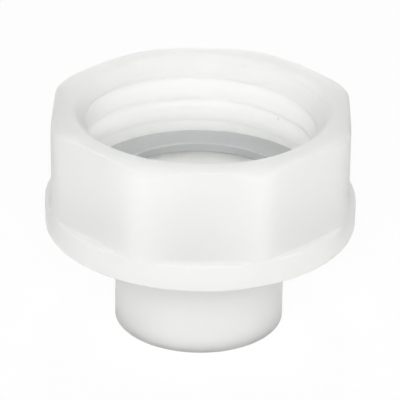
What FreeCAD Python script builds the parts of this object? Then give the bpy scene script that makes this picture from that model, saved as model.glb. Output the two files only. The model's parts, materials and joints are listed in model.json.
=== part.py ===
import FreeCAD, Part
import math
import os

# Moulded plastic adapter from the coarse thread of a bulk tank's outlet to a one inch pipe thread,
# with the flat rubber gasket that lies in it. Millimetres and degrees.
# The origin is the centre of the tube's lower end, and +Z runs up through the socket to the tank.

# Socket for the tank outlet
SOCKET_DIAMETER = 61.0
SOCKET_DEPTH = 23.2
MOUTH_BEVEL = 1.2

# Rib of the coarse right-hand thread on the socket's wall
RIB_PITCH = 6.0
RIB_DEPTH = 2.3
RIB_CREST_WIDTH = 1.6
RIB_UPPER_FLANK = 45.0
RIB_LOWER_FLANK = 10.0
RIB_ABOVE_GASKET = 2.3
RIB_END_BELOW_RIM = 2.8
RIB_START_ANGLE = 24.0

# Gasket on the socket's floor
GASKET_CLEARANCE = 0.3
GASKET_WIDTH = 7.8
GASKET_THICKNESS = 2.5
GASKET_EDGE_BEVEL = 0.2

# Collar round the socket: a round band below, wrench flats above
COLLAR_WALL = 5.7
FLAT_COUNT = 8
BAND_STEP = 2.3
BAND_HEIGHT = 6.8
FLOOR_THICKNESS = 7.4
RIM_FACE_INSET = 0.4
RIM_BEVEL_ANGLE = 22.0
COLLAR_EDGE_BEVEL = 0.4
FLAT_EDGE_BEVEL = 0.3

# Parallel pipe thread of one inch in the tube, open at the tube's lower end
OUTLET_PITCH = 25.4 / 11
OUTLET_MAJOR_DIAMETER = 33.25
OUTLET_MINOR_DIAMETER = 30.29
OUTLET_FLANK = 27.5
OUTLET_THREAD_LENGTH = 18.0
OUTLET_RUNOUT = 2.5
OUTLET_MOUTH_LIP = 0.65

# Tube and the waterway through the floor
TUBE_WALL = 4.5
TUBE_LENGTH = 26.7
TUBE_END_BEVEL = 0.4
TUBE_ROOT_BEVEL = 0.8
PASSAGE_DIAMETER = 28.0

# How far a cutter runs past the surface it cuts, how deep the rib is rooted in its wall,
# how much a thread's section overlaps its crest, and the width of a search for edges
OVERRUN = 1.0
EMBED = 0.5
TRIM = 0.15
HAIR = 0.05

SOCKET_RADIUS = SOCKET_DIAMETER / 2
MOUTH_RADIUS = SOCKET_RADIUS + MOUTH_BEVEL
RIB_CREST_RADIUS = SOCKET_RADIUS - RIB_DEPTH
FLAT_DISTANCE = SOCKET_RADIUS + COLLAR_WALL
COLLAR_RADIUS = FLAT_DISTANCE + BAND_STEP
OUTLET_MAJOR_RADIUS = OUTLET_MAJOR_DIAMETER / 2
OUTLET_MINOR_RADIUS = OUTLET_MINOR_DIAMETER / 2
OUTLET_MOUTH_RADIUS = OUTLET_MAJOR_RADIUS + OUTLET_MOUTH_LIP
TUBE_RADIUS = OUTLET_MAJOR_RADIUS + TUBE_WALL

SEAT_Z = TUBE_LENGTH + FLOOR_THICKNESS
RIM_Z = SEAT_Z + SOCKET_DEPTH
LEDGE_Z = TUBE_LENGTH + BAND_HEIGHT
GASKET_TOP_Z = SEAT_Z + GASKET_THICKNESS
SHOULDER_Z = OUTLET_THREAD_LENGTH + OUTLET_RUNOUT

ORIGIN = FreeCAD.Vector(0, 0, 0)
Z_AXIS = FreeCAD.Vector(0, 0, 1)
FULL_TURN = 360.0
QUARTERS = 4


def point(radius, height):
    """A point in the half plane that is turned about the Z axis."""
    return FreeCAD.Vector(radius, 0, height)


def revolved(corners):
    """Solid of revolution from (radius, height, bevel) corners, each bevel cut back that far."""
    points = []
    for index, (radius, height, bevel) in enumerate(corners):
        here = point(radius, height)
        before = point(*corners[index - 1][:2])
        after = point(*corners[(index + 1) % len(corners)][:2])
        if bevel > 0:
            points.append(here + (before - here).normalize() * bevel)
            points.append(here + (after - here).normalize() * bevel)
        else:
            points.append(here)
    face = Part.Face(Part.makePolygon(points + points[:1]))
    return face.revolve(ORIGIN, Z_AXIS, FULL_TURN)


def cylinder(radius, low, high):
    return Part.makeCylinder(radius, high - low, point(0, low))


def quarter_cylinders(radius, low, high):
    """A plug in four quarters, so that a wall cut by it has one face in each quarter turn."""
    quarter_turn = FULL_TURN / QUARTERS
    quarter = Part.makeCylinder(radius, high - low, point(0, low), Z_AXIS, quarter_turn)
    return [quarter.rotated(ORIGIN, Z_AXIS, quarter_turn * step) for step in range(QUARTERS)]


def cut_all(shape, tools):
    for tool in tools:
        shape = shape.cut(tool)
    return shape


def helical_sweep(section, pitch, turns, start_angle):
    """Sweeps a closed section, given as (radius, height) points, up a right-hand helix about Z."""
    mean_radius = sum(radius for radius, height in section) / len(section)
    path = Part.makeLongHelix(pitch, pitch * turns, mean_radius)
    path.translate(point(0, section[0][1]))
    corners = [point(radius, height) for radius, height in section]
    profile = Part.makePolygon(corners + corners[:1])
    sweep = Part.Wire(path.Edges).makePipeShell([profile], True, True)
    return sweep.rotated(ORIGIN, Z_AXIS, start_angle)


def bevelled(shape, low, high, reach):
    """Bevels the curved edges between two heights that lie further from the axis than reach."""
    edges = []
    for edge in shape.Edges:
        middle = edge.valueAt((edge.FirstParameter + edge.LastParameter) / 2)
        far_enough = math.hypot(middle.x, middle.y) > reach
        if far_enough and low < middle.z < high and edge.Curve.TypeId != "Part::GeomLine":
            edges.append(edge)
    return shape.makeChamfer(FLAT_EDGE_BEVEL, edges)


def moulding_blank():
    """Tube and round collar, with the shallow cone that bevels the corners of the flats."""
    rim_face_radius = FLAT_DISTANCE - RIM_FACE_INSET
    bevel_drop = (COLLAR_RADIUS - rim_face_radius) * math.tan(math.radians(RIM_BEVEL_ANGLE))
    return revolved([
        (0, 0, 0),
        (TUBE_RADIUS, 0, TUBE_END_BEVEL),
        (TUBE_RADIUS, TUBE_LENGTH, TUBE_ROOT_BEVEL),
        (COLLAR_RADIUS, TUBE_LENGTH, COLLAR_EDGE_BEVEL),
        (COLLAR_RADIUS, RIM_Z - bevel_drop, 0),
        (rim_face_radius, RIM_Z, 0),
        (0, RIM_Z, 0),
    ])


def flat_cutters():
    """Slabs that cut the wrench flats from the rim down to the ledge over the round band."""
    width = 2 * COLLAR_RADIUS
    corner = FreeCAD.Vector(FLAT_DISTANCE, -COLLAR_RADIUS, LEDGE_Z)
    slab = Part.makeBox(BAND_STEP + OVERRUN, width, RIM_Z + OVERRUN - LEDGE_Z, corner)
    step = FULL_TURN / FLAT_COUNT
    return [slab.rotated(ORIGIN, Z_AXIS, step * side) for side in range(FLAT_COUNT)]


def mouth_cone():
    """The 45 degree lead-in at the rim, carried on inwards so that it also bevels the rib."""
    below = MOUTH_RADIUS - RIB_CREST_RADIUS + OVERRUN
    above = RIB_PITCH
    narrow = MOUTH_RADIUS - below
    wide = MOUTH_RADIUS + above
    return Part.makeCone(narrow, wide, below + above, point(0, RIM_Z - below))


def collar_and_tube():
    """The moulding without its threads."""
    body = cut_all(moulding_blank(), flat_cutters())
    body = cut_all(body, [cylinder(SOCKET_RADIUS, SEAT_Z, RIM_Z + OVERRUN), mouth_cone()])
    body = bevelled(body, LEDGE_Z + HAIR, RIM_Z - HAIR, FLAT_DISTANCE - HAIR)
    body = bevelled(body, LEDGE_Z - HAIR, LEDGE_Z + HAIR, FLAT_DISTANCE)
    return body


def socket_rib():
    """The thread's rib: a steep flank below, a 45 degree flank above and a cylindrical crest."""
    fall = math.tan(math.radians(RIB_LOWER_FLANK))
    rise = math.tan(math.radians(RIB_UPPER_FLANK))
    inner = RIB_CREST_RADIUS - TRIM
    outer = SOCKET_RADIUS + EMBED
    low = GASKET_TOP_Z + RIB_ABOVE_GASKET
    high = low + RIB_CREST_WIDTH
    section = [
        (inner, low + TRIM * fall),
        (outer, low - (outer - RIB_CREST_RADIUS) * fall),
        (outer, high + (outer - RIB_CREST_RADIUS) * rise),
        (inner, high - TRIM * rise),
    ]
    turns = (RIM_Z - RIB_END_BELOW_RIM - low) / RIB_PITCH
    rib = helical_sweep(section, RIB_PITCH, turns, RIB_START_ANGLE)
    rib = cut_all(rib, quarter_cylinders(RIB_CREST_RADIUS, SEAT_Z, RIM_Z + RIB_PITCH))
    return rib.cut(mouth_cone())


def outlet_groove():
    """Groove of the pipe thread, from below the tube's end up into the runout."""
    slope = math.tan(math.radians(OUTLET_FLANK))
    half_root = OUTLET_PITCH / 4 - (OUTLET_MAJOR_RADIUS - OUTLET_MINOR_RADIUS) / 2 * slope
    inner = OUTLET_MINOR_RADIUS - TRIM
    half_inner = half_root + (OUTLET_MAJOR_RADIUS - inner) * slope
    start = -OUTLET_PITCH
    section = [
        (inner, start - half_inner),
        (OUTLET_MAJOR_RADIUS, start - half_root),
        (OUTLET_MAJOR_RADIUS, start + half_root),
        (inner, start + half_inner),
    ]
    climb = OUTLET_THREAD_LENGTH + OUTLET_RUNOUT / 2 - start
    return helical_sweep(section, OUTLET_PITCH, climb / OUTLET_PITCH, 0)


def outlet_hollows():
    """Mouth bevel, runout above the thread, and the waterway up to the gasket's seat."""
    mouth_height = OUTLET_MOUTH_RADIUS - OUTLET_MINOR_RADIUS
    mouth_radius = OUTLET_MOUTH_RADIUS + OVERRUN
    mouth = Part.makeCone(
        mouth_radius, OUTLET_MINOR_RADIUS, mouth_height + OVERRUN, point(0, -OVERRUN)
    )
    runout = cylinder(OUTLET_MAJOR_RADIUS + TRIM, OUTLET_THREAD_LENGTH, SHOULDER_Z)
    passage = cylinder(PASSAGE_DIAMETER / 2, OUTLET_THREAD_LENGTH, SEAT_Z + OVERRUN)
    return [mouth, runout, passage]


def adapter_body():
    body = collar_and_tube().fuse(socket_rib())
    body = cut_all(body, quarter_cylinders(OUTLET_MINOR_RADIUS, -OVERRUN, SHOULDER_Z))
    body = cut_all(body, outlet_hollows())
    return body.cut(outlet_groove())


def gasket():
    outer = SOCKET_RADIUS - GASKET_CLEARANCE
    inner = outer - GASKET_WIDTH
    section = [(inner, SEAT_Z), (outer, SEAT_Z), (outer, GASKET_TOP_Z), (inner, GASKET_TOP_Z)]
    return revolved([(radius, height, GASKET_EDGE_BEVEL) for radius, height in section])


def export(shape, node):
    """Writes the one solid of a piece and stops if it isn't a sound one."""
    solids = shape.Solids
    if len(solids) != 1 or not solids[0].isValid():
        raise RuntimeError(f"{node}: {len(solids)} solids, valid {[s.isValid() for s in solids]}")
    solids[0].exportStep(f"parts/{node}.step")
    print(f"{node}: volume {solids[0].Volume:.1f} mm3, {len(solids[0].Faces)} faces")


os.makedirs("parts", exist_ok=True)
export(adapter_body(), "adapter_body")
export(gasket(), "gasket")
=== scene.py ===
import bpy
import bmesh
import json
import math
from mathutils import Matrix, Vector


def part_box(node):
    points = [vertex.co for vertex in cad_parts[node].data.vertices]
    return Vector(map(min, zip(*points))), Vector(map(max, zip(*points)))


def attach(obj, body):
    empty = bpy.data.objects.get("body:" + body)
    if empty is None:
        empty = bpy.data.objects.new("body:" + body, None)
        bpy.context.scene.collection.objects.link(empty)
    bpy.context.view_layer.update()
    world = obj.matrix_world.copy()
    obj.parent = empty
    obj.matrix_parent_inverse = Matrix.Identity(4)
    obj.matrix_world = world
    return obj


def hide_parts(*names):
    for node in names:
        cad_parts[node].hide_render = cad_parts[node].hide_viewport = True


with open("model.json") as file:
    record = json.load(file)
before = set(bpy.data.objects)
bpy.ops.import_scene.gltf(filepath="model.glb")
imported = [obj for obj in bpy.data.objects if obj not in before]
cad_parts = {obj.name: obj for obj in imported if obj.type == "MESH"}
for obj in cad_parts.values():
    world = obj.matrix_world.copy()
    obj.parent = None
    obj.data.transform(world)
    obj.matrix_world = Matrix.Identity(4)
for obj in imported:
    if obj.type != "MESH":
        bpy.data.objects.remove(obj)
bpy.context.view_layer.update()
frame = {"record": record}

MM = 0.001

# Boxes and radii that the solids and their record state
BODY_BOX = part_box("adapter_body")
GASKET_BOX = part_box("gasket")
MOUNTS = {mount["name"]: mount["dims"] for mount in frame["record"]["mounts"]}
COLLAR_RADIUS = BODY_BOX[1].x
RIM_HEIGHT = BODY_BOX[1].z
SEAT_HEIGHT = GASKET_BOX[0].z
RIB_CREST = MOUNTS["tank_socket"]["r_mm"] * MM
OUTLET_CREST = MOUNTS["outlet_thread"]["r_mm"] * MM

# Gasket
GASKET_HOLE_RADIUS = 22.4 * MM
GASKET_ROUNDING = 0.35 * MM

# Collar and tube
TUBE_RADIUS = 21.125 * MM
UNDERSIDE_HEIGHT = 26.7 * MM
FLAT_DISTANCE = 36.2 * MM
FLAT_COUNT = 8
SHOULDER_HEIGHT = 56.21 * MM
RIM_FACE_RADIUS = 35.8 * MM

# How far the presses that soften the collar's corners reach in, and the share of the bulge each one leaves
CORNER_PRESSES = [(35.4 * MM, 0.85), (35.7 * MM, 0.75), (36.0 * MM, 0.6), (FLAT_DISTANCE, 0.0)]

# Rows of the ledge under the flats: height above its middle, and how much of the bulge is left there
LEDGE_HEIGHT = 33.5 * MM
LEDGE_ROWS = [
    (-0.6 * MM, 1.0),
    (-0.3 * MM, 0.95),
    (-0.12 * MM, 0.82),
    (-0.05 * MM, 0.65),
    (0.0, 0.35),
    (0.05 * MM, 0.2),
    (0.22 * MM, 0.05),
]
LEDGE_TOP = LEDGE_HEIGHT + 0.6 * MM

# Socket
SOCKET_RADIUS = 30.5 * MM
MOUTH_RADIUS = 31.7 * MM

# Waterway and pipe thread of 11 turns an inch
PASSAGE_RADIUS = 14 * MM
RUNOUT_RADIUS = 16.775 * MM
RUNOUT_TOP = 20.5 * MM
OUTLET_LENGTH = 18 * MM
OUTLET_ROOT = 16.625 * MM
OUTLET_MOUTH = 17.275 * MM
OUTLET_PITCH = 25.4 / 11 * MM
OUTLET_FLANK = math.tan(math.radians(27.5))
OUTLET_TURNS = 9.3
OUTLET_START = math.radians(0.9)

# Roundings of the moulding's edges, from the tube's end up the outside and down through the socket
TUBE_END_ROUNDING = 0.25 * MM
NECK_FILLET = 0.8 * MM
BAND_ROUNDING = 0.5 * MM
SHOULDER_ROUNDING = 1.2 * MM
RIM_ROUNDING = 1.5 * MM
MOUTH_ROUNDING = 0.8 * MM
MOUTH_FOOT_ROUNDING = 0.7 * MM
SEAT_FILLET = 0.25 * MM
PASSAGE_ROUNDING = 0.4 * MM
RUNOUT_FILLET = 0.1 * MM
OUTLET_ROUNDING = 0.2 * MM

# Rib in the socket: where it starts, how it winds, and its crest
RIB_PITCH = 6 * MM
RIB_START = math.radians(24)
RIB_TURNS = 2.6
RIB_FOOT = 38.9 * MM
RIB_WIDTH = 1.6 * MM

# Rib's section at the wall: how deep its root lies, where its flanks end, and the soft blends beyond them
RIB_ROOT = 1 * MM
RIB_FLANK_FOOT = 0.15 * MM
RIB_LOWER_DROP = 0.41 * MM
RIB_BLEND_DEPTH = 0.1 * MM
RIB_LOWER_BLEND = 1.25 * MM
RIB_UPPER_BLEND = 0.7 * MM
RIB_CREST_ROUNDING = 0.75 * MM
RIB_FOOT_ROUNDING = 0.8 * MM

# Rib's ends: the stations over which it fades, how deep it ends, and its gap under the mouth's bevel
RIB_FADE = 13
RIB_END_DEPTH = 0.12 * MM
RIB_MOUTH_GAP = 0.15 * MM

# How far the cutters stand out of what they cut
CONE_OVERSHOOT = 5 * MM
GROOVE_OVERSHOOT = 0.2 * MM

# Steps of a full turn, for the round forms and for the pipe thread, and of a rounding
ROUND_STEPS = 240
THREAD_STEPS = 96
ROUNDING_STEPS = 4

# The widest angle between two faces that are shaded as one
SMOOTH_ANGLE = math.radians(35)

# How near two vertices are that are the same place, and that are welded
TOUCH = 0.01 * MM
WELD = 0.001 * MM

# Plastic: how deep light enters, and its colour with the colour of its faint clouds
SCATTER_DEPTH = 25 * MM
PLASTIC_COLOUR = (0.985, 0.985, 0.975, 1)
PLASTIC_CLOUD = (0.992, 0.992, 0.984, 1)
PLASTIC_CLOUD_SIZE = 14 * MM

# Specks of dirt in the plastic: middle, half its width and half its height, and where its edge fades
SPECKS = [
    (Vector((19.29, 23.4, 43.2)) * MM, 0.32 * MM, 0.55 * MM),
    (Vector((-29.95, -3.3, 55.8)) * MM, 0.3 * MM, 0.2 * MM),
]
SPECK_FADE = (0.7, 1.3)
SPECK_COLOUR = (0.3, 0.27, 0.23, 1)
SPECK_STRENGTH = 0.2

# Rubber: its face with the colour of its clouds, the darker colour of painted shade on its walls, and how
# far under the face the painted shade takes over
RUBBER_COLOUR = (0.6, 0.615, 0.63, 1)
RUBBER_CLOUD = (0.65, 0.665, 0.677, 1)
RUBBER_CLOUD_SIZE = 5 * MM
RUBBER_PAINTED_SHADE_COLOUR = (0.46, 0.47, 0.48, 1)
RUBBER_PAINTED_SHADE_BAND = (0.4 * MM, 0.1 * MM)

# Camera: the point of the axis at the collar's underside, and where it lies in the photograph
SENSOR_WIDTH = 36.0
IMAGE_SIZE = 400
CAMERA_DISTANCE = 666 * MM
CAMERA_AZIMUTH = math.radians(-89.4)
CAMERA_ELEVATION = math.radians(26.95)
CAMERA_ROLL = math.radians(0.9)
CAMERA_RANGE = 20
PIXELS_PER_MM = 4.015
UNDERSIDE_PIXEL = (200.3, 217.6)

# Lamps: name, azimuth and elevation in degrees, size and power
LAMPS = [
    ("front_softbox", -90, 34, 0.4, 4.95),
    ("low_front_softbox", -90, 8, 0.25, 0.4),
    ("front_left_softbox", -140, 30, 0.3, 0.5),
    ("front_right_softbox", -40, 30, 0.3, 0.5),
    ("low_back_softbox", 90, 5, 0.25, 4.1),
    ("high_back_softbox", 90, 60, 0.25, 2.15),
    ("left_softbox", 180, 20, 0.25, 1.35),
    ("right_softbox", 0, 20, 0.25, 1.3),
]
LAMP_DISTANCE = 0.9
LAMP_TARGET = Vector((0, 0, 0.03))
LAMP_COLOUR = (1.0, 1.0, 0.98)

# Surroundings, and the share of plain white in the floor that the camera sees
WHITE = (1, 1, 1, 1)
SURROUND_LIGHT = 0.01
FLOOR_COLOUR = (0.95, 0.95, 0.95, 1)
FLOOR_WHITE = 0.94
FLOOR_SIZE = 4.0
FLOOR_HEIGHT = -0.05 * MM

# Bounces of light, many because it goes to and fro in the plastic and in the socket
DIFFUSE_BOUNCES = 24
MAX_BOUNCES = 32


class Wire:
    """One output of a shader node, whose arithmetic adds Math nodes."""

    def __init__(self, finish, socket):
        self.finish = finish
        self.socket = socket

    def maths(self, operation, first, second):
        """Adds a Math node for an operation on two values."""
        return self.finish.node("Math", first, second, settings={"operation": operation})

    def __add__(self, other):
        return self.maths("ADD", self, other)

    def __radd__(self, other):
        return self.maths("ADD", other, self)

    def __rsub__(self, other):
        return self.maths("SUBTRACT", other, self)

    def __rmul__(self, other):
        return self.maths("MULTIPLY", other, self)


class Finish:
    """The nodes of a material or of the world, written down one by one."""

    def __init__(self, owner):
        owner.use_nodes = True
        self.tree = owner.node_tree
        self.tree.nodes.clear()

    def node(self, kind, *values, settings=(), output=None, **named):
        """Adds a node with its settings, fills its sockets in order or by name, and returns one output."""
        node = self.tree.nodes.new("ShaderNode" + kind)
        for name, setting in dict(settings).items():
            setattr(node, name, setting)
        sockets = [socket for socket in node.inputs if socket.enabled]
        for socket, value in zip(sockets, values):
            self.feed(socket, value)
        for name, value in named.items():
            wanted = name.replace("_", " ")
            self.feed(next(socket for socket in sockets if socket.name == wanted), value)
        outputs = [socket for socket in node.outputs if socket.enabled and output in (None, socket.name)]
        return Wire(self, outputs[0]) if outputs else None

    def feed(self, socket, value):
        """Links a wire to a socket, or sets the socket to a plain value."""
        if isinstance(value, Wire):
            self.tree.links.new(value.socket, socket)
        else:
            socket.default_value = value

    def place(self):
        """The place of a point, from the part's origin."""
        return self.node("TexCoord", output="Object")

    def noise(self, size, detail=2):
        """Noise whose blobs are about that many metres across, between 0 and 1."""
        return self.node("TexNoise", Vector=self.place(), Scale=1 / size, Detail=detail)

    def grain(self, size, detail, depth, strength):
        """The bumps of a fine skin."""
        return self.node("Bump", Height=self.noise(size, detail), Distance=depth, Strength=strength)

    def ramp(self, value, start, end):
        """0 up to one value and 1 from another on."""
        return self.node("MapRange", Value=value, From_Min=start, From_Max=end)

    def vector(self, operation, *values):
        """Adds a Vector Math node."""
        return self.node("VectorMath", *values, settings={"operation": operation})

    def spot(self, middle, width, height):
        """1 in a small spot about a place and 0 outside it."""
        away = self.vector("SUBTRACT", self.place(), middle)
        shares = self.vector("DIVIDE", away, Vector((width, width, height)))
        return 1 - self.ramp(self.vector("LENGTH", shares), *SPECK_FADE)

    def between(self, amount, first, second):
        """Mixes two colours by an amount between 0 and 1."""
        return self.node("Mix", amount, first, second, settings={"data_type": "RGBA"})

    def shown(self):
        """1 for what the camera sees, also in gloss or through something clear, and 0 for other light."""
        rays = ("Is Camera Ray", "Is Glossy Ray", "Is Transmission Ray")
        return sum(self.node("LightPath", output=ray) for ray in rays)


def moulded_plastic():
    """Natural white plastic that light enters deeply, with two specks of dirt in it."""
    material = bpy.data.materials.new("natural_white_plastic")
    finish = Finish(material)
    plastic = finish.node(
        "BsdfPrincipled",
        Base_Color=finish.between(finish.noise(PLASTIC_CLOUD_SIZE), PLASTIC_COLOUR, PLASTIC_CLOUD),
        Roughness=0.5 + 0.12 * finish.noise(3 * MM),
        Specular_IOR_Level=0.28,
        IOR=1.5,
        Subsurface_Weight=1.0,
        Subsurface_Radius=(1.0, 1.0, 0.95),
        Subsurface_Scale=SCATTER_DEPTH,
        Normal=finish.grain(size=0.35 * MM, detail=3, depth=0.02 * MM, strength=0.15),
    )
    dirt = finish.node("BsdfDiffuse", Color=SPECK_COLOUR)
    spots = sum(finish.spot(*speck) for speck in SPECKS)
    finish.node("OutputMaterial", finish.node("MixShader", SPECK_STRENGTH * spots, plastic, dirt))
    return material


def grey_rubber():
    """Matt grey rubber with a fine skin, with painted shade making its walls darker than its face."""
    material = bpy.data.materials.new("grey_rubber")
    finish = Finish(material)
    face = finish.between(finish.noise(RUBBER_CLOUD_SIZE), RUBBER_COLOUR, RUBBER_CLOUD)
    height = finish.node("SeparateXYZ", finish.place(), output="Z")
    deep, shallow = RUBBER_PAINTED_SHADE_BAND
    top = GASKET_BOX[1].z
    # Painted shade: from a little under the face down, the walls take a darker grey
    painted_shade = 1 - finish.ramp(height, top - deep, top - shallow)
    rubber = finish.node(
        "BsdfPrincipled",
        Base_Color=finish.between(painted_shade, face, RUBBER_PAINTED_SHADE_COLOUR),
        Roughness=0.62 + 0.1 * finish.noise(1.5 * MM),
        Normal=finish.grain(size=0.2 * MM, detail=4, depth=0.03 * MM, strength=0.3),
    )
    finish.node("OutputMaterial", rubber)
    return material


def white_floor():
    """A white floor that keeps a faint shadow in the camera's view."""
    material = bpy.data.materials.new("white_floor")
    finish = Finish(material)
    lit = finish.node("BsdfDiffuse", Color=FLOOR_COLOUR)
    white = finish.node("Emission", Color=WHITE, Strength=1.0)
    finish.node("OutputMaterial", finish.node("MixShader", FLOOR_WHITE * finish.shown(), lit, white))
    return material


def pick(piece):
    """Makes a piece the only one selected, and the active one."""
    bpy.ops.object.select_all(action="DESELECT")
    piece.select_set(True)
    bpy.context.view_layer.objects.active = piece


def choose(piece, wanted):
    """Selects in edit mode the vertices that pass a test."""
    mesh = bmesh.from_edit_mesh(piece.data)
    mesh.select_mode = {"VERT"}
    for vertex in mesh.verts:
        vertex.select_set(wanted(vertex))
    mesh.select_flush(True)
    bmesh.update_edit_mesh(piece.data, loop_triangles=False, destructive=False)


def outline(name, corners, azimuth=0.0):
    """Draws a closed outline of (radius, height, rounding) in edit mode and rounds its corners."""
    ray = Vector((math.cos(azimuth), math.sin(azimuth), 0))
    places = [ray * radius + Vector((0, 0, height)) for radius, height, rounding in corners]
    bpy.ops.object.select_all(action="DESELECT")
    bpy.ops.mesh.primitive_plane_add(size=1 * MM, location=places[0])
    piece = bpy.context.object
    piece.name = name
    bpy.ops.object.transform_apply(location=True, rotation=True, scale=True)
    bpy.ops.object.mode_set(mode="EDIT")
    bpy.ops.mesh.select_mode(type="VERT")
    bpy.ops.mesh.merge(type="CENTER")
    for here, there in zip(places, places[1:]):
        bpy.ops.mesh.extrude_region_move(TRANSFORM_OT_translate={"value": there - here})
    choose(piece, lambda vertex: min((vertex.co - end).length for end in (places[0], places[-1])) < TOUCH)
    bpy.ops.mesh.edge_face_add()
    for place, (radius, height, rounding) in zip(places, corners):
        if rounding:
            choose(piece, lambda vertex: (vertex.co - place).length < TOUCH)
            bpy.ops.mesh.bevel(offset=rounding, segments=ROUNDING_STEPS, affect="VERTICES")
    return piece


def spun(name, corners):
    """Spins a closed outline into a round piece, still in edit mode."""
    piece = outline(name, corners)
    bpy.ops.mesh.select_all(action="SELECT")
    bpy.ops.mesh.spin(steps=ROUND_STEPS, angle=math.tau, center=(0, 0, 0), axis=(0, 0, 1))
    bpy.ops.mesh.select_all(action="SELECT")
    bpy.ops.mesh.remove_doubles(threshold=WELD)
    return piece


def screwed(name, corners, azimuth, turns, pitch, steps):
    """Winds a closed outline into a helical bar with closed ends, still in edit mode."""
    piece = outline(name, corners, azimuth)
    bpy.ops.object.mode_set(mode="OBJECT")
    winding = piece.modifiers.new("winding", "SCREW")
    winding.axis = "Z"
    winding.angle = math.tau * turns
    winding.screw_offset = pitch * turns
    winding.steps = round(steps * turns)
    winding.render_steps = round(steps * turns)
    winding.use_smooth_shade = False
    bpy.ops.object.modifier_apply(modifier=winding.name)
    bpy.ops.object.mode_set(mode="EDIT")
    bpy.ops.mesh.select_all(action="SELECT")
    bpy.ops.mesh.fill_holes(sides=0)
    return piece


def close(piece):
    """Welds the seams, turns the faces outwards and leaves edit mode."""
    bpy.ops.mesh.select_all(action="SELECT")
    bpy.ops.mesh.remove_doubles(threshold=WELD)
    bpy.ops.mesh.normals_make_consistent(inside=False)
    bpy.ops.object.mode_set(mode="OBJECT")
    return piece


def combine(piece, tool, operation):
    """Joins a tool to a piece, or cuts it out of the piece, and takes the tool away."""
    pick(piece)
    step = piece.modifiers.new(tool.name, "BOOLEAN")
    step.operation = operation
    step.solver = "EXACT"
    step.object = tool
    bpy.ops.object.modifier_apply(modifier=step.name)
    bpy.data.objects.remove(tool)


def press_flats(piece):
    """Presses the wrench flats into the collar above its ledge, one after another."""
    for flat in range(FLAT_COUNT):
        for reach, share in CORNER_PRESSES:
            choose(piece, lambda vertex: vertex.co.y < -reach and vertex.co.z > LEDGE_TOP - TOUCH)
            bpy.ops.transform.resize(value=(1, share, 1), center_override=(0, -reach, 0))
        for rise, share in LEDGE_ROWS:
            level = LEDGE_HEIGHT + rise
            choose(piece, lambda vertex: vertex.co.y < -FLAT_DISTANCE and abs(vertex.co.z - level) < TOUCH)
            bpy.ops.transform.resize(value=(1, share, 1), center_override=(0, -FLAT_DISTANCE, 0))
        bpy.ops.mesh.select_all(action="SELECT")
        bpy.ops.transform.rotate(value=math.tau / FLAT_COUNT, orient_axis="Z", center_override=(0, 0, 0))


def moulding_blank():
    """The moulding without its two threads."""
    ledge = [(COLLAR_RADIUS, LEDGE_HEIGHT + rise, 0) for rise, share in LEDGE_ROWS]
    piece = spun("adapter_moulding", [
        (OUTLET_MOUTH, 0, 0),
        (TUBE_RADIUS, 0, TUBE_END_ROUNDING),
        (TUBE_RADIUS, UNDERSIDE_HEIGHT, NECK_FILLET),
        (COLLAR_RADIUS, UNDERSIDE_HEIGHT, BAND_ROUNDING),
        *ledge,
        (COLLAR_RADIUS, LEDGE_TOP, 0),
        (COLLAR_RADIUS, SHOULDER_HEIGHT, SHOULDER_ROUNDING),
        (RIM_FACE_RADIUS, RIM_HEIGHT, RIM_ROUNDING),
        (MOUTH_RADIUS, RIM_HEIGHT, MOUTH_ROUNDING),
        (SOCKET_RADIUS, RIM_HEIGHT - MOUTH_RADIUS + SOCKET_RADIUS, MOUTH_FOOT_ROUNDING),
        (SOCKET_RADIUS, SEAT_HEIGHT, SEAT_FILLET),
        (PASSAGE_RADIUS, SEAT_HEIGHT, PASSAGE_ROUNDING),
        (PASSAGE_RADIUS, RUNOUT_TOP, OUTLET_ROUNDING),
        (RUNOUT_RADIUS, RUNOUT_TOP, OUTLET_ROUNDING),
        (RUNOUT_RADIUS, OUTLET_LENGTH, RUNOUT_FILLET),
        (OUTLET_CREST, OUTLET_LENGTH, OUTLET_ROUNDING),
        (OUTLET_CREST, OUTLET_MOUTH - OUTLET_CREST, OUTLET_ROUNDING),
    ])
    press_flats(piece)
    return close(piece)


def fade_ends(rib):
    """Lowers the rib's first and last stations into the wall, in edit mode."""
    vertices = bmesh.from_edit_mesh(rib.data).verts
    vertices.index_update()
    last = round(ROUND_STEPS * RIB_TURNS)
    count = len(vertices) // (last + 1)
    root = SOCKET_RADIUS + RIB_ROOT
    lowest = (RIB_ROOT - RIB_END_DEPTH) / (root - RIB_CREST)
    for step in range(RIB_FADE):
        share = step / RIB_FADE
        scale = lowest + (1 - lowest) * share * share * (3 - 2 * share)
        for station in (step, last - step):
            azimuth = RIB_START + math.tau * station / ROUND_STEPS
            centre = (root * math.cos(azimuth), root * math.sin(azimuth), 0)
            choose(rib, lambda vertex: vertex.index // count == station)
            bpy.ops.transform.resize(value=(scale, scale, 1), center_override=centre)


def mouth_cone():
    """The cone that cuts the rib off, a little further out than the bevel of the mouth."""
    reach = MOUTH_RADIUS + CONE_OVERSHOOT
    middle = (0, 0, RIM_HEIGHT + CONE_OVERSHOOT - RIB_MOUTH_GAP - reach / 2)
    bpy.ops.object.select_all(action="DESELECT")
    bpy.ops.mesh.primitive_cone_add(
        vertices=ROUND_STEPS, radius1=0, radius2=reach, depth=reach, location=middle)
    cone = bpy.context.object
    cone.name = "mouth_cone"
    return cone


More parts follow.
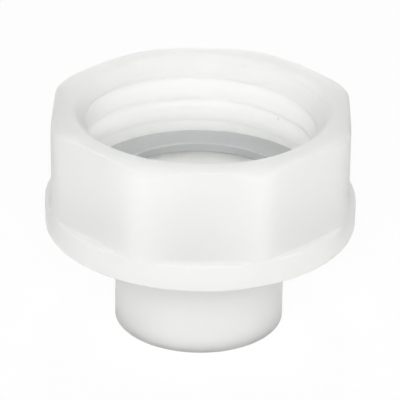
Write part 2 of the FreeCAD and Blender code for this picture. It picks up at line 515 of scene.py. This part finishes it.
def socket_rib():
    """The socket's helical rib, with a steep flank below and one of 45 degrees above."""
    root = SOCKET_RADIUS + RIB_ROOT
    blend = SOCKET_RADIUS + RIB_BLEND_DEPTH
    foot = SOCKET_RADIUS - RIB_FLANK_FOOT
    low = RIB_FOOT - RIB_LOWER_BLEND
    flank = RIB_FOOT + RIB_WIDTH + SOCKET_RADIUS - RIB_CREST
    high = flank + RIB_UPPER_BLEND
    rib = screwed("socket_rib", [
        (root, low, 0),
        (blend, low, 0),
        (foot, RIB_FOOT - RIB_LOWER_DROP, RIB_FOOT_ROUNDING),
        (RIB_CREST, RIB_FOOT, RIB_CREST_ROUNDING),
        (RIB_CREST, RIB_FOOT + RIB_WIDTH, RIB_CREST_ROUNDING),
        (foot, flank - RIB_FLANK_FOOT, RIB_FOOT_ROUNDING),
        (blend, high, 0),
        (root, high, 0),
    ], RIB_START, RIB_TURNS, RIB_PITCH, ROUND_STEPS)
    fade_ends(rib)
    close(rib)
    combine(rib, mouth_cone(), "DIFFERENCE")
    return rib


def outlet_groove():
    """The groove that leaves the pipe thread in the tube."""
    depth = OUTLET_ROOT - OUTLET_CREST
    narrow = OUTLET_PITCH / 4 - depth / 2 * OUTLET_FLANK
    inner = OUTLET_CREST - GROOVE_OVERSHOOT
    wide = narrow + (OUTLET_ROOT - inner) * OUTLET_FLANK
    start = OUTLET_PITCH * (OUTLET_START / math.tau - 1)
    return close(screwed("outlet_groove", [
        (inner, start - wide, 0),
        (OUTLET_ROOT, start - narrow, 0),
        (OUTLET_ROOT, start + narrow, 0),
        (inner, start + wide, 0),
    ], OUTLET_START, OUTLET_TURNS, OUTLET_PITCH, THREAD_STEPS))


def hand_in(piece, material, node):
    """Smooths a piece, gives it its material and puts it in place of its solid."""
    pick(piece)
    bpy.ops.object.shade_smooth_by_angle(angle=SMOOTH_ANGLE)
    piece.data.materials.append(material)
    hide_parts(node)
    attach(piece, "root")


def make_moulding():
    """The moulding, with the rib joined on and the pipe thread cut."""
    piece = moulding_blank()
    combine(piece, socket_rib(), "UNION")
    combine(piece, outlet_groove(), "DIFFERENCE")
    bpy.ops.object.mode_set(mode="EDIT")
    close(piece)
    hand_in(piece, moulded_plastic(), "adapter_body")


def make_gasket():
    """The sealing ring on its seat."""
    low, high = GASKET_BOX
    piece = close(spun("sealing_washer", [
        (GASKET_HOLE_RADIUS, low.z, GASKET_ROUNDING),
        (high.x, low.z, GASKET_ROUNDING),
        (high.x, high.z, GASKET_ROUNDING),
        (GASKET_HOLE_RADIUS, high.z, GASKET_ROUNDING),
    ]))
    hand_in(piece, grey_rubber(), "gasket")


def lay_floor():
    """The floor, a hair under the tube's end."""
    bpy.ops.object.select_all(action="DESELECT")
    bpy.ops.mesh.primitive_plane_add(size=FLOOR_SIZE, location=(0, 0, FLOOR_HEIGHT))
    floor = bpy.context.object
    floor.name = "floor"
    floor.data.materials.append(white_floor())


def light_surroundings():
    """A world that shows white and gives almost no light."""
    world = bpy.data.worlds.new("studio")
    bpy.context.scene.world = world
    sky = Finish(world)
    strength = SURROUND_LIGHT + (1 - SURROUND_LIGHT) * sky.shown()
    sky.node("OutputWorld", sky.node("Background", WHITE, strength))


def direction(azimuth, elevation):
    """The unit vector towards an azimuth and an elevation."""
    return Vector((
        math.cos(azimuth) * math.cos(elevation),
        math.sin(azimuth) * math.cos(elevation),
        math.sin(elevation),
    ))


def look_from(thing, place, target):
    """Puts a lamp or the camera at a place and turns it to its target."""
    thing.location = place
    thing.rotation_euler = (place - target).to_track_quat("Z", "Y").to_euler()


def hang_lamps():
    """The lamps, each a round softbox that no gloss shows."""
    for name, azimuth, elevation, size, power in LAMPS:
        bpy.ops.object.light_add(type="AREA")
        lamp = bpy.context.object
        lamp.name = name
        lamp.data.shape = "DISK"
        lamp.data.size = size
        lamp.data.energy = power
        lamp.data.color = LAMP_COLOUR
        lamp.visible_glossy = False
        away = direction(math.radians(azimuth), math.radians(elevation))
        look_from(lamp, LAMP_TARGET + away * LAMP_DISTANCE, LAMP_TARGET)


def place_camera():
    """Stands the camera so that the collar's underside falls on its place in the photograph."""
    away = direction(CAMERA_AZIMUTH, CAMERA_ELEVATION)
    right = Vector((-math.sin(CAMERA_AZIMUTH), math.cos(CAMERA_AZIMUTH), 0))
    up = away.cross(right)
    middle = IMAGE_SIZE / 2
    across = (middle - UNDERSIDE_PIXEL[0]) / PIXELS_PER_MM * MM
    along = (UNDERSIDE_PIXEL[1] - middle) / PIXELS_PER_MM * MM
    target = Vector((0, 0, UNDERSIDE_HEIGHT)) + right * across + up * along
    bpy.ops.object.camera_add()
    camera = bpy.context.object
    look_from(camera, target + away * CAMERA_DISTANCE, target)
    camera.rotation_euler.rotate_axis("Z", CAMERA_ROLL)
    camera.data.sensor_width = SENSOR_WIDTH
    camera.data.lens = PIXELS_PER_MM / MM * CAMERA_DISTANCE * SENSOR_WIDTH / IMAGE_SIZE
    camera.data.clip_end = CAMERA_RANGE
    bpy.context.scene.camera = camera


bpy.context.scene.view_settings.view_transform = "Standard"
bpy.context.scene.cycles.diffuse_bounces = DIFFUSE_BOUNCES
bpy.context.scene.cycles.max_bounces = MAX_BOUNCES
make_moulding()
make_gasket()
lay_floor()
light_surroundings()
hang_lamps()
place_camera()
